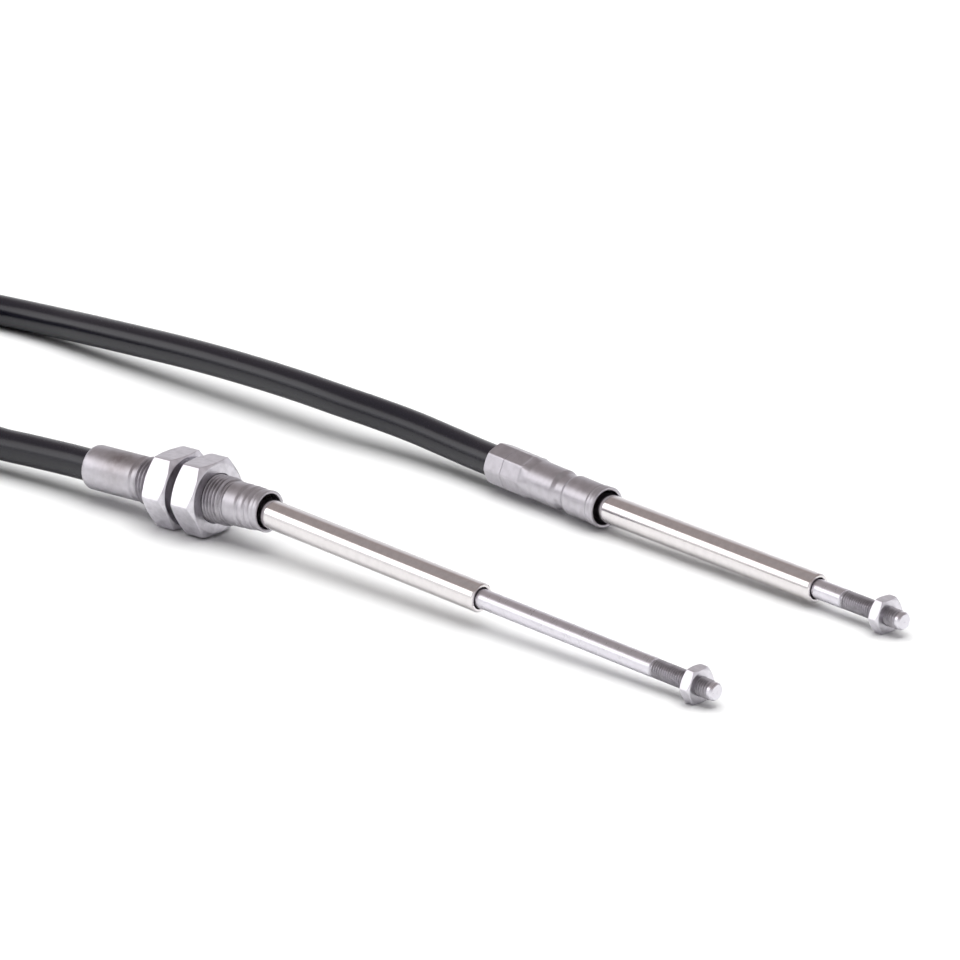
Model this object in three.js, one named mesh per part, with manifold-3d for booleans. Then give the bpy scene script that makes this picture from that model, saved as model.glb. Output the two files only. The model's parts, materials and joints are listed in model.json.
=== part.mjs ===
// Push-pull control cable for a boat: a black conduit with a steel end fitting at each end.
// One end has a threaded bulkhead hub with two jam nuts, the other a plain hub with a clamp groove.
// In each hub a support tube swivels, and in each tube a rod with a threaded tip slides.
// Millimetres, +Z up. The cable lies on the floor at z = 0 and the rods point along +X.

import * as THREE from 'three';
import * as BufferGeometryUtils from 'three/addons/utils/BufferGeometryUtils.js';
import Module from 'manifold-3d';

const wasm = await Module();
wasm.setup();

// Conduit. The route below gives it 1.37 m, for a cable of 1.83 m from rod tip to rod tip
const conduitDiameter = 10.7;
const straightBehindHub = [5, 12];
const conduitFloorGap = 0.05;

// Rods, 1/4-28 thread
const rodDiameter = 6.35;
const rodThreadDiameter = 6.2;
const rodThreadLength = 25.4;
const rodThreadStep = 0.3;
const rodChamfer = 0.7;
const rodEngagement = 16;

// Travel of the rods, and how far the bulkhead end's rod stands out past mid stroke at rest
const travel = 76.2;
const rodShownAtMidStroke = 42.5;
const restStroke = 30.7;

// Support tubes
const tubeDiameter = 9.525;
const tubeBore = 7.1;
const tubeShown = 94;
const tubeTail = 4;
const tubeEdge = 0.5;

// Jam nuts: chamfer of the corners, and the part of the flats' width that the round face keeps
const nutChamferAngle = 30;
const nutFaceShare = 0.96;

// Jam nuts on the rods
const rodNutFlats = 11.1;
const rodNutThickness = 4;
const rodNutFromTip = 8.2;

// Jam nuts on the bulkhead hub, 5/8-18 thread
const hubThreadDiameter = 15.875;
const hubNutFlats = 23.8;
const hubNutThickness = 9.5;
const hubNutGap = 3.2;
const frontNutFromMouth = 22.4;

// Bulkhead hub
const bulkheadHubLength = 76.5;
const noseLength = 14.4;
const noseDiameter = 14.4;
const noseTipDiameter = 13.7;
const noseGroovesFromMouth = [8.5, 5.4];
const noseGrooveWidth = 0.8;
const noseGrooveDepth = 0.35;
const noseTipLength = 0.9;
const threadChamfer = 0.8;
const threadEndFromMouth = 53.3;
const reliefDepth = 0.35;
const reliefEdge = 0.5;
const barrelFromMouth = 55.2;
const barrelDiameter = 14.9;
const barrelRim = 1.6;

// Clamp hub
const clampHubLength = 52.2;
const clampFrontDiameter = 13.1;
const clampBodyDiameter = 13.3;
const clampCrimpSides = 8;
const clampCrimpDiameter = 14.6;
const clampCrimpFlats = 13.6;
const clampCrimpFromMouth = 35.1;
const clampTaper = 3.3;
const clampGrooveFront = 14.8;
const clampGrooveWidth = 5.6;
const clampGrooveDepth = 0.9;
const clampRim = 1.0;

// Mouth of both hubs, with its rolled lip and the swivel seat behind it
const mouthBore = 12.3;
const lipDiameter = 13.7;
const lipBore = 11.7;
const lipWidth = 3.3;
const lipNeckDepth = 0.25;
const lipNeckWidth = 0.5;
const swivelDepth = 4.8;
const sealHalfWidth = 1.4;
const sealRelief = 0.05;
const swivelAngle = 8;
const conduitSocketDepth = 4;

// Clearance between pieces that pass through, seat in or screw on each other
const clearance = 0.3;

// How the ends lie: heading is measured from +X towards +Y, and rise is nose up
const bulkheadHubHeading = 2.9;
const bulkheadHubRise = 2.35;
const bulkheadTubeHeading = 0;
const clampSwivel = new THREE.Vector3(64.3, 89.4, 7.8);
const clampHubHeading = -5.0;
const clampHubRise = -0.85;
const clampTubeHeading = -2.5;

// Coil of the conduit, with its centre measured from the bulkhead end's swivel
const coilCentre = new THREE.Vector2(-273, 13);
const coilDiameter = 111;
const coilLayers = 3;
const coilLayerHeight = 10.9;
const coilEdgeRound = 3;

// Ties round the coil
const tieAngles = [160, 250];
const tieWidth = 4.6;
const tieThickness = 1.2;
const tieCornerRound = 2;
const tieHead = { length: 6.5, depth: 4.2, height: 6 };
const tieLift = tieThickness + clearance;

// Fineness of the round shapes
const roundSides = 40;
const conduitSides = 12;
const coilSides = 72;
const grooveSteps = 4;
const rimSteps = 3;
const tieCornerSteps = 4;

// How far a cutting solid runs past what it cuts, and how far two solids that are joined overlap
const cutMargin = 1;
const joinOverlap = 0.01;

const rad = THREE.MathUtils.degToRad;
const radius = (diameter) => diameter / 2;

// Materials
const metal = (color, roughness) => new THREE.MeshStandardMaterial({ color, roughness, metalness: 1 });
const plastic = (color, roughness) => new THREE.MeshStandardMaterial({ color, roughness, metalness: 0 });
const materials = {
  machinedSteel: () => metal(0xb9b4bd, 0.36),
  polishedTube: () => metal(0xd8d4d4, 0.18),
  rodSteel: () => metal(0xc4c0ca, 0.3),
  nutSteel: () => metal(0xc6c3cc, 0.38),
  conduitJacket: () => plastic(0x1f1d24, 0.45),
  sealRubber: () => plastic(0x16120f, 0.7),
  tieNylon: () => plastic(0x1a1a1c, 0.55),
};

function node(name, geometry, material) {
  const mesh = new THREE.Mesh(geometry, material);
  mesh.name = name;
  return mesh;
}

// A solid turned about +X from [radius, place along X] points, from the back of the axis to its front
function turned(points, sides = roundSides) {
  const profile = points.map(([r, x]) => new THREE.Vector2(r, x));
  return new THREE.LatheGeometry(profile, sides).rotateZ(-Math.PI / 2);
}

// A solid with a bore, turned from a loop of [radius, place] points that closes on itself
const turnedRing = (points, sides) => turned([...points, points[0]], sides);

// Joins and cuts
function toSolid(geometry) {
  const bare = geometry.clone();
  bare.deleteAttribute('normal');
  bare.deleteAttribute('uv');
  const merged = BufferGeometryUtils.mergeVertices(bare, 1e-4);
  const mesh = new wasm.Mesh({
    numProp: 3,
    vertProperties: new Float32Array(merged.attributes.position.array),
    triVerts: new Uint32Array(merged.index.array),
  });
  return new wasm.Manifold(mesh);
}

function toGeometry(solid) {
  const mesh = solid.getMesh();
  const geometry = new THREE.BufferGeometry();
  geometry.setAttribute('position', new THREE.BufferAttribute(new Float32Array(mesh.vertProperties), 3));
  geometry.setIndex(new THREE.BufferAttribute(new Uint32Array(mesh.triVerts), 1));
  geometry.computeVertexNormals();
  return geometry;
}

// A bar along +X with flat sides and two of its corners level with its axis
function flatSidedBar(sides, flats, from, to) {
  const corner = radius(flats) / Math.cos(Math.PI / sides);
  const shape = new THREE.Shape();
  for (let i = 0; i < sides; i += 1) {
    const angle = (2 * Math.PI * i) / sides;
    const place = [corner * Math.cos(angle), corner * Math.sin(angle)];
    if (i === 0) shape.moveTo(...place);
    else shape.lineTo(...place);
  }
  shape.closePath();
  const bar = new THREE.ExtrudeGeometry(shape, { depth: to - from, bevelEnabled: false });
  return bar.translate(0, 0, from).rotateX(Math.PI / 2).rotateZ(Math.PI / 2);
}

// A jam nut centred on the origin: a hexagon with its corners chamfered, and a plain bore
function jamNut(flats, thickness, threadDiameter) {
  const half = thickness / 2;
  const corner = radius(flats) / Math.cos(Math.PI / 6);
  const face = radius(flats) * nutFaceShare;
  const chamfer = (corner - face) * Math.tan(rad(nutChamferAngle));
  const blank = turned([[0, -half], [face, -half], [corner, chamfer - half], [corner, half - chamfer],
    [face, half], [0, half]]);
  const bore = radius(threadDiameter) + clearance;
  const hole = turned([[0, -thickness], [bore, -thickness], [bore, thickness], [0, thickness]]);
  const hexagon = flatSidedBar(6, flats, -half, half);
  return toGeometry(toSolid(hexagon).intersect(toSolid(blank)).subtract(toSolid(hole)));
}

// Points of a rounded groove, as [radius, place], from its back edge to its front edge
function groove(surfaceRadius, back, width, depth) {
  return Array.from({ length: grooveSteps + 1 }, (_, i) => {
    const turn = (Math.PI * i) / grooveSteps;
    return [surfaceRadius - depth * Math.sin(turn), back + (width * (1 - Math.cos(turn))) / 2];
  });
}

// Points of a quarter round edge from a flat end at the back out to the side
function rearRim(sideRadius, back, rim) {
  return Array.from({ length: rimSteps + 1 }, (_, i) => {
    const turn = (Math.PI * i) / (2 * rimSteps);
    return [sideRadius - rim + rim * Math.sin(turn), back + rim * (1 - Math.cos(turn))];
  });
}

// The socket that the conduit enters, from the axis out to the back face, for a hub that ends at `back`
function conduitSocket(back) {
  const socket = radius(conduitDiameter) + clearance;
  return [[0, back + conduitSocketDepth], [socket, back + conduitSocketDepth], [socket, back]];
}

// The lip and the mouth, from the neck behind the lip round into the bore and back to the axis
function mouth(neckRadius) {
  const lip = radius(lipDiameter);
  const edge = radius(lipBore);
  const bore = radius(mouthBore);
  const tailSwing = tubeTail + radius(tubeDiameter) * Math.sin(rad(swivelAngle * Math.SQRT2));
  const depth = swivelDepth + tailSwing + clearance;
  const round = (lip - edge) / 2;
  return [[neckRadius, -lipWidth - lipNeckWidth], [neckRadius - lipNeckDepth, -lipWidth - lipNeckWidth / 2],
    [lip - round, -lipWidth], [lip, round - lipWidth], [lip, -round], [lip - round, 0],
    [edge, -round], [edge, -2 * round], [bore, -lipWidth], [bore, -depth], [0, -depth]];
}

// Hubs, turned about +X with the mouth at x = 0
function bulkheadHub() {
  const back = -bulkheadHubLength;
  const barrel = radius(barrelDiameter);
  const thread = radius(hubThreadDiameter);
  const nose = radius(noseDiameter);
  const tip = radius(noseTipDiameter);
  const relief = barrel - reliefDepth;
  return turned([
    ...conduitSocket(back),
    ...rearRim(barrel, back, barrelRim),
    [barrel, -barrelFromMouth],
    [relief, -barrelFromMouth + reliefEdge],
    [relief, -threadEndFromMouth - reliefEdge],
    [thread, -threadEndFromMouth],
    [thread, -noseLength - threadChamfer],
    [nose, -noseLength],
    ...noseGroovesFromMouth.flatMap(
      (place) => groove(nose, -place - noseGrooveWidth / 2, noseGrooveWidth, noseGrooveDepth),
    ),
    [tip, -lipWidth - noseTipLength],
    ...mouth(tip),
  ]);
}

function clampHub() {
  const back = -clampHubLength;
  const crimp = radius(clampCrimpDiameter);
  const body = radius(clampBodyDiameter);
  const front = radius(clampFrontDiameter);
  const grooveBack = -clampGrooveFront - clampGrooveWidth;
  const round = turned([
    ...conduitSocket(back),
    ...rearRim(crimp, back, clampRim),
    [crimp, -clampCrimpFromMouth],
    [body, -clampCrimpFromMouth + clampTaper],
    ...groove(body, grooveBack, clampGrooveWidth, clampGrooveDepth).slice(0, -1),
    [front, -clampGrooveFront],
    ...mouth(front),
  ]);
  const crimpFront = -clampCrimpFromMouth;
  const crimped = flatSidedBar(clampCrimpSides, clampCrimpFlats, back - cutMargin, crimpFront);
  const plainBack = crimpFront - joinOverlap;
  const plain = flatSidedBar(clampCrimpSides, clampCrimpDiameter + cutMargin, plainBack, cutMargin);
  return toGeometry(toSolid(round).intersect(toSolid(crimped).add(toSolid(plain))));
}

// The swivel seal: round outside about the swivel, and wider inside towards its edges, so both can tilt
function swivelSeal() {
  const outside = radius(mouthBore) - clearance;
  const inside = radius(tubeDiameter) + clearance;
  const flare = sealHalfWidth * Math.tan(rad(swivelAngle)) + sealRelief;
  const edge = Math.sqrt(outside ** 2 - sealHalfWidth ** 2);
  const middle = Math.sqrt(outside ** 2 - (sealHalfWidth / 2) ** 2);
  return turnedRing([[inside + flare, -sealHalfWidth], [edge, -sealHalfWidth], [middle, -sealHalfWidth / 2],
    [outside, 0], [middle, sealHalfWidth / 2], [edge, sealHalfWidth], [inside + flare, sealHalfWidth],
    [inside, 0]]);
}

// Support tube, with the swivel at x = 0 and its far end bevelled
const tubeReach = swivelDepth + tubeShown;
function supportTube() {
  const outside = radius(tubeDiameter);
  const bore = radius(tubeBore);
  return turnedRing([[bore, -tubeTail], [outside, -tubeTail], [outside, tubeReach - tubeEdge],
    [outside - tubeEdge, tubeReach], [bore, tubeReach]]);
}

// Rod, with the swivel at x = 0 and the given plain length standing out of the tube
function rod(plainShown) {
  const plainLength = rodShownAtMidStroke + travel / 2 + rodEngagement;
  const threadStart = tubeReach + plainShown;
  const tail = threadStart - plainLength;
  const tip = threadStart + rodThreadLength;
  const shank = radius(rodDiameter);
  const thread = radius(rodThreadDiameter);
  return turned([[0, tail], [shank, tail], [shank, threadStart], [thread, threadStart + rodThreadStep],
    [thread, tip - rodChamfer], [thread - rodChamfer, tip], [0, tip]]);
}

// Where an end's hub, seal, tube, rod and nut sit, nested as they swivel
function turnedTo(heading, rise) {
  const group = new THREE.Group();
  group.rotation.set(0, -rise, heading, 'ZYX');
  return group;
}

const nutPlace = (plainShown) => tubeReach + plainShown + rodThreadLength - rodNutFromTip;

// Nose-down angle at which the rod nut's lower edge rests on the floor
function droopAt(swivelHeight, plainShown) {
  const reach = nutPlace(plainShown) + rodNutThickness / 2;
  const flat = radius(rodNutFlats);
  return Math.asin(swivelHeight / Math.hypot(flat, reach)) - Math.atan2(flat, reach);
}

// An end fitting whose swivel sits at `swivel`; the hub's own rest angles and the tube's heading are given
function endFitting({ name, swivel, hubHeading, hubRise, tubeHeading, hub, hubExtras, plainShown }) {
  const end = new THREE.Group();
  end.position.copy(swivel);

  const hubFrame = turnedTo(rad(hubHeading), rad(hubRise));
  const hubParts = new THREE.Group();
  hubParts.position.x = swivelDepth;
  hubParts.add(node(`${name}_hub`, hub(), materials.machinedSteel()), ...hubExtras);
  hubFrame.add(hubParts);

  const turn = rad(tubeHeading - hubHeading);
  const sink = Math.sin(droopAt(swivel.z, plainShown));
  const noseUp = Math.cos(turn) * Math.sin(rad(hubRise));
  const level = Math.cos(rad(hubRise));
  const tilt = Math.asin(sink / Math.hypot(noseUp, level)) + Math.atan2(noseUp, level);
  const sealFrame = turnedTo(turn, 0);
  const tubeFrame = turnedTo(0, -tilt);
  const nut = jamNut(rodNutFlats, rodNutThickness, rodThreadDiameter).translate(nutPlace(plainShown), 0, 0);
  tubeFrame.add(
    node(`${name}_tube`, supportTube(), materials.polishedTube()),
    node(`${name}_rod`, rod(plainShown), materials.rodSteel()),
    node(`${name}_rod_nut`, nut, materials.nutSteel()),
  );
  sealFrame.add(node(`${name}_seal`, swivelSeal(), materials.sealRubber()), tubeFrame);
  hubFrame.add(sealFrame);
  end.add(hubFrame);
  return end;
}

// Jam nuts on the bulkhead hub, measured back from the mouth
const frontNutCentre = -frontNutFromMouth - hubNutThickness / 2;
const rearNutCentre = frontNutCentre - hubNutThickness - hubNutGap;
const hubNuts = () => [['bulkhead_nut_front', frontNutCentre], ['bulkhead_nut_rear', rearNutCentre]].map(
  ([name, x]) => node(name, jamNut(hubNutFlats, hubNutThickness, hubThreadDiameter).translate(x, 0, 0),
    materials.nutSteel()),
);

// The bulkhead end's swivel stands as high as the rear nut's lower edge on the floor puts it
const riseAngle = rad(bulkheadHubRise);
const rearNutHeight = radius(hubNutFlats) * Math.cos(riseAngle) + (hubNutThickness / 2) * Math.sin(riseAngle);
const swivelFromRearNut = -rearNutCentre - swivelDepth;
const bulkheadSwivel = new THREE.Vector3(0, 0, rearNutHeight + swivelFromRearNut * Math.sin(riseAngle));

const bulkheadEnd = endFitting({
  name: 'bulkhead',
  swivel: bulkheadSwivel,
  hubHeading: bulkheadHubHeading,
  hubRise: bulkheadHubRise,
  tubeHeading: bulkheadTubeHeading,
  hub: bulkheadHub,
  hubExtras: hubNuts(),
  plainShown: rodShownAtMidStroke + restStroke,
});

const clampEnd = endFitting({
  name: 'clamp',
  swivel: clampSwivel,
  hubHeading: clampHubHeading,
  hubRise: clampHubRise,
  tubeHeading: clampTubeHeading,
  hub: clampHub,
  hubExtras: [],
  plainShown: rodShownAtMidStroke - restStroke,
});

// The conduit's route. It leaves each hub straight along the hub's axis
function hubLine(swivel, heading, rise, hubLength) {
  const forward = new THREE.Vector3(1, 0, 0).applyEuler(new THREE.Euler(0, -rad(rise), rad(heading), 'ZYX'));
  const backFace = swivel.clone().addScaledVector(forward, swivelDepth - hubLength);
  const at = (behind) => backFace.clone().addScaledVector(forward, -behind);
  return { start: at(clearance - conduitSocketDepth), straight: straightBehindHub.map(at) };
}

const onFloor = radius(conduitDiameter) + conduitFloorGap;
const point = (x, y, z = onFloor) => new THREE.Vector3(x, y, z);

const clampLine = hubLine(clampSwivel, clampHubHeading, clampHubRise, clampHubLength);
const clampRoute = [
  clampLine.start, ...clampLine.straight,
  point(-11.5, 95.3, 9.6), point(-24.1, 95.3, 10.5), point(-37.6, 94.5, 11.4), point(-55.1, 93.2, 12.3),
  point(-76.7, 93.2, 12.6), point(-101, 93.4, 12.2), point(-125.2, 93.3, 11.4), point(-149.6, 93.1, 10),
  point(-174.5, 93, 8.3), point(-194.7, 93, 6.7), point(-222.1, 90.1, 5.6), point(-242.9, 85.6),
  point(-264.8, 78.3),
];

const bulkheadLine = hubLine(bulkheadSwivel, bulkheadHubHeading, bulkheadHubRise, bulkheadHubLength);
const bulkheadRoute = [
  bulkheadLine.start, ...bulkheadLine.straight,
  point(-100, -5.9, 9.5), point(-113.3, -7.7, 9.2), point(-134.1, -10.1, 10.3), point(-154.9, -13, 13.1),
  point(-175.8, -16.7, 16.8), point(-196.6, -21.2, 20.8), point(-222.1, -28.2, 25),
];

function conduitRun(name, points) {
  const curve = new THREE.CatmullRomCurve3(points, false, 'centripetal');
  const shape = new THREE.Shape();
  for (let i = 0; i < conduitSides; i += 1) {
    const angle = (2 * Math.PI * i) / conduitSides;
    const place = [radius(conduitDiameter) * Math.cos(angle), radius(conduitDiameter) * Math.sin(angle)];
    if (i === 0) shape.moveTo(...place);
    else shape.lineTo(...place);
  }
  shape.closePath();
  const steps = Math.round(curve.getLength() / (2 * conduitDiameter));
  const tube = new THREE.ExtrudeGeometry(shape, { steps, extrudePath: curve, bevelEnabled: false });
  return node(name, tube, materials.conduitJacket());
}

// The coil's outer shape, a ring with rounded edges and a shallow slot under it for each tie
function conduitCoil() {
  const inside = radius(coilDiameter) - radius(conduitDiameter);
  const outside = radius(coilDiameter) + radius(conduitDiameter);
  const height = (coilLayers - 1) * coilLayerHeight + conduitDiameter;
  const round = coilEdgeRound;
  const profile = [[inside + round, 0], [outside - round, 0], [outside, round], [outside, height - round],
    [outside - round, height], [inside + round, height], [inside, height - round], [inside, round],
    [inside + round, 0]].map(([r, z]) => new THREE.Vector2(r, z));
  let ring = toSolid(new THREE.LatheGeometry(profile, coilSides).rotateX(Math.PI / 2));
  for (const angle of tieAngles) {
    const slot = new THREE.BoxGeometry(conduitDiameter * 2, tieWidth + 2 * clearance, 2 * tieLift);
    slot.translate(radius(coilDiameter), 0, 0).rotateZ(rad(angle));
    ring = ring.subtract(toSolid(slot));
  }
  const coil = node('conduit_coil', toGeometry(ring), materials.conduitJacket());
  coil.position.set(coilCentre.x, coilCentre.y, 0);
  return coil;
}

// A tie: a thin band round the coil's section, with its locking head on the outside
function coilTie(name, angle) {
  const halfGap = radius(conduitDiameter) + clearance;
  const top = (coilLayers - 1) * coilLayerHeight + conduitDiameter + tieLift + clearance;
  const band = (grow, from) => {
    const low = tieThickness - grow;
    const half = halfGap + grow;
    const high = top + grow;
    const round = tieCornerRound + grow;
    const shape = new THREE.Shape();
    shape.moveTo(round - half, low);
    shape.lineTo(half - round, low);
    shape.quadraticCurveTo(half, low, half, low + round);
    shape.lineTo(half, high - round);
    shape.quadraticCurveTo(half, high, half - round, high);
    shape.lineTo(round - half, high);
    shape.quadraticCurveTo(-half, high, -half, high - round);
    shape.lineTo(-half, low + round);
    shape.quadraticCurveTo(-half, low, round - half, low);
    const depth = tieWidth + 2 * from;
    const solid = new THREE.ExtrudeGeometry(
      shape, { depth, bevelEnabled: false, curveSegments: tieCornerSteps },
    );
    return toSolid(solid.translate(0, 0, -depth / 2).rotateX(Math.PI / 2));
  };
  const head = new THREE.BoxGeometry(tieHead.depth, tieHead.length, tieHead.height);
  head.translate(halfGap + tieHead.depth / 2, 0, top / 2);
  const body = band(tieThickness, 0).add(toSolid(head)).subtract(band(0, cutMargin));
  const tie = node(name, toGeometry(body), materials.tieNylon());
  const arm = radius(coilDiameter);
  tie.position.set(coilCentre.x + arm * Math.cos(rad(angle)), coilCentre.y + arm * Math.sin(rad(angle)), 0);
  tie.rotation.z = rad(angle);
  return tie;
}

const conduit = new THREE.Group();
conduit.add(
  conduitRun('conduit_clamp_run', clampRoute),
  conduitRun('conduit_bulkhead_run', bulkheadRoute),
  conduitCoil(),
  ...tieAngles.map((angle, i) => coilTie(`coil_tie_${i + 1}`, angle)),
);

// The origin is on the floor, under the middle of the two end fittings
const fittings = new THREE.Group();
fittings.add(bulkheadEnd, clampEnd);
const middle = new THREE.Box3().setFromObject(fittings, true).getCenter(new THREE.Vector3());

const cable = new THREE.Group();
cable.add(fittings, conduit);
cable.position.set(-middle.x, -middle.y, 0);

const group = new THREE.Group();
group.add(cable);
export default group;
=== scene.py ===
"""Looks of a push-pull control cable for a boat.

A black conduit joins a bulkhead end and a clamp end. Each end has a steel hub, a polished support tube that
swivels in the hub's mouth, and a rod with a threaded tip that slides in the tube. Each piece is made in
metres about its own axis, which is X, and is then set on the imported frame.
"""

import json
import math

import bpy
from bpy.props import FloatProperty, FloatVectorProperty, PointerProperty
from mathutils import Matrix, Vector


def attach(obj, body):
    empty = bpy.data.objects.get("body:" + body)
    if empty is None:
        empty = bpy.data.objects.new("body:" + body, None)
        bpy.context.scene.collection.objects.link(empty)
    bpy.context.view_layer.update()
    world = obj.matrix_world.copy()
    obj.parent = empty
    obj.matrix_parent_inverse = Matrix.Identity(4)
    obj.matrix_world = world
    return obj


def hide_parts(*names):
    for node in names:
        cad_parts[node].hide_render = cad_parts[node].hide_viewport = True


bl_info = {
    "name": "Boat control cable",
    "version": (1, 0, 0),
    "blender": (4, 5, 0),
    "location": "View3D > Sidebar > Control cable",
    "description": "Makes a push-pull control cable with a bulkhead end and a clamp end",
    "category": "Add Mesh",
}

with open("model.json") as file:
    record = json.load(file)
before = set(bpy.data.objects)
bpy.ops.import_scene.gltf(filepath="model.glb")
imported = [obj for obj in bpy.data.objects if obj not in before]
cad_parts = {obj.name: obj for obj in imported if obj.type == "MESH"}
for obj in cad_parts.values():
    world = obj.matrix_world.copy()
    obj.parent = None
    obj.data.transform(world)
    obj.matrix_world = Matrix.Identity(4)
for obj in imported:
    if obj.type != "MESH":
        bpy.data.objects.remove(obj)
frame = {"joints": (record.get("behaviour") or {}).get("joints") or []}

MM = 0.001
SHARP_ANGLE = math.radians(32)

# The bulkhead hub's thread, and the ends of the clamp hub's crimp and its ring line, behind the mouth
THREAD_FROM_MOUTH = 15.3 * MM
THREAD_END_FROM_MOUTH = 53.3 * MM
CRIMP_SIDES = 8
CRIMP_FROM_MOUTH = 35.1 * MM
CRIMP_LINE_FROM_MOUTH = 44.2 * MM

# A patchy brown darkening on top of the bulkhead hub's barrel, partly rust and partly a painted dark
# reflection of the dark overhead studio, from the middle of its mouth
RUST_AND_DARK_REFLECTION_CENTRE = (-62 * MM, -3.6 * MM, 6.4 * MM)
RUST_AND_DARK_REFLECTION_RADIUS = 10 * MM

# A nut's round face, the cut at its corners and its countersink, as shares of the width across its flats
NUT_FACE = 0.96
NUT_CORNER_CUT = 0.005
NUT_SINK = 0.03

# The coil's middle, from the floor below the bulkhead end's swivel, and the ties' places round it in degrees
COIL_CENTRE = (-273 * MM, 13 * MM)
TIE_ANGLES = (160, 250)

# The studio's colour, from the horizon at 0 to straight overhead at 1
STUDIO_STRENGTH = 1.05
STUDIO_COLOURS = (
    (0.0, (1.0, 1.0, 1.0)), (0.2, (0.86, 0.85, 0.88)), (0.42, (0.7, 0.68, 0.7)),
    (0.62, (0.37, 0.32, 0.31)), (0.85, (0.38, 0.35, 0.35)), (1.0, (0.4, 0.39, 0.38)),
)

# The camera looks at a point on the floor, given in millimetres, along its heading and down by its drop
CAMERA_LENS = 283.54
CAMERA_TARGET = (-56.883, 51.903, 0)
CAMERA_DISTANCE = 2.4765
CAMERA_HEADING = math.radians(133.825)
CAMERA_DROP = math.radians(20.297)


# Properties


class CONDUIT_PG_sizes(bpy.types.PropertyGroup):
    """Sizes of the conduit, its coil and the ties round the coil."""

    diameter: FloatProperty(name="Diameter", description="Outside diameter of the conduit",
                            default=10.7 * MM, unit="LENGTH", precision=5)
    length: FloatProperty(name="Length", description="Length of the conduit between the two hubs",
                          default=1.37, unit="LENGTH", precision=4)
    coil_diameter: FloatProperty(name="Coil diameter", description="Across the middle of the coil's turns",
                                 default=111 * MM, unit="LENGTH", precision=5)
    layer_height: FloatProperty(name="Layer height", description="From one layer of the coil to the next",
                                default=10.9 * MM, unit="LENGTH", precision=5)
    tie_width: FloatProperty(name="Tie width", description="Width of a tie's band",
                             default=4.6 * MM, unit="LENGTH", precision=5)
    tie_thickness: FloatProperty(name="Tie thickness", description="Thickness of a tie's band",
                                 default=1.2 * MM, unit="LENGTH", precision=5)


class HUB_PG_sizes(bpy.types.PropertyGroup):
    """Sizes of the two hubs and the seal rings in their mouths."""

    bulkhead_length: FloatProperty(name="Bulkhead hub length", description="From its mouth to its back face",
                                   default=76.5 * MM, unit="LENGTH", precision=5)
    thread_diameter: FloatProperty(name="Hub thread", description="Crest diameter of the hub's thread",
                                   default=15.875 * MM, unit="LENGTH", precision=5)
    thread_pitch: FloatProperty(name="Hub thread pitch", description="Eighteen threads to the inch",
                                default=25.4 / 18 * MM, unit="LENGTH", precision=5)
    thread_depth: FloatProperty(name="Hub thread depth", description="From crest to root",
                                default=0.8 * MM, unit="LENGTH", precision=5)
    barrel_diameter: FloatProperty(name="Barrel", description="Diameter of the smooth rear of the hub",
                                   default=14.9 * MM, unit="LENGTH", precision=5)
    nose_diameter: FloatProperty(name="Nose", description="Diameter of the smooth nose",
                                 default=14.4 * MM, unit="LENGTH", precision=5)
    clamp_length: FloatProperty(name="Clamp hub length", description="From its mouth to its back face",
                                default=52.2 * MM, unit="LENGTH", precision=5)
    clamp_diameter: FloatProperty(name="Clamp hub", description="Diameter of the clamp hub's body",
                                  default=13.3 * MM, unit="LENGTH", precision=5)
    crimp_diameter: FloatProperty(name="Crimped rear", description="Across the corners of the crimped rear",
                                  default=14.6 * MM, unit="LENGTH", precision=5)
    crimp_flats: FloatProperty(name="Crimp flats", description="Across the flats of the crimped rear",
                               default=13.6 * MM, unit="LENGTH", precision=5)
    mouth_bore: FloatProperty(name="Mouth bore", description="Bore of the mouth that seats the seal ring",
                              default=12.3 * MM, unit="LENGTH", precision=5)
    lip_diameter: FloatProperty(name="Lip", description="Diameter of the rolled lip",
                                default=13.7 * MM, unit="LENGTH", precision=5)
    lip_bore: FloatProperty(name="Lip bore", description="Bore of the rolled lip",
                            default=11.7 * MM, unit="LENGTH", precision=5)
    swivel_depth: FloatProperty(name="Swivel depth", description="From the mouth to the middle of the swivel",
                                default=4.8 * MM, unit="LENGTH", precision=5)


class NUT_PG_sizes(bpy.types.PropertyGroup):
    """Sizes of the jam nuts on the hub and on the rods."""

    hub_flats: FloatProperty(name="Hub nut", description="Across the flats of the nuts on the hub",
                             default=23.8 * MM, unit="LENGTH", precision=5)
    hub_thickness: FloatProperty(name="Hub nut thickness", description="Thickness of the nuts on the hub",
                                 default=9.5 * MM, unit="LENGTH", precision=5)
    hub_from_mouth: FloatProperty(name="Front nut", description="From the hub's mouth to the front nut",
                                  default=22.4 * MM, unit="LENGTH", precision=5)
    hub_gap: FloatProperty(name="Gap", description="Gap between the two nuts on the hub",
                           default=3.2 * MM, unit="LENGTH", precision=5)
    rod_flats: FloatProperty(name="Rod nut", description="Across the flats of the nuts on the rods",
                             default=11.1 * MM, unit="LENGTH", precision=5)
    rod_thickness: FloatProperty(name="Rod nut thickness", description="Thickness of the nuts on the rods",
                                 default=4 * MM, unit="LENGTH", precision=5)
    rod_from_tip: FloatProperty(name="Rod nut place", description="From the rod's tip to the nut's middle",
                                default=8.2 * MM, unit="LENGTH", precision=5)


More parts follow.
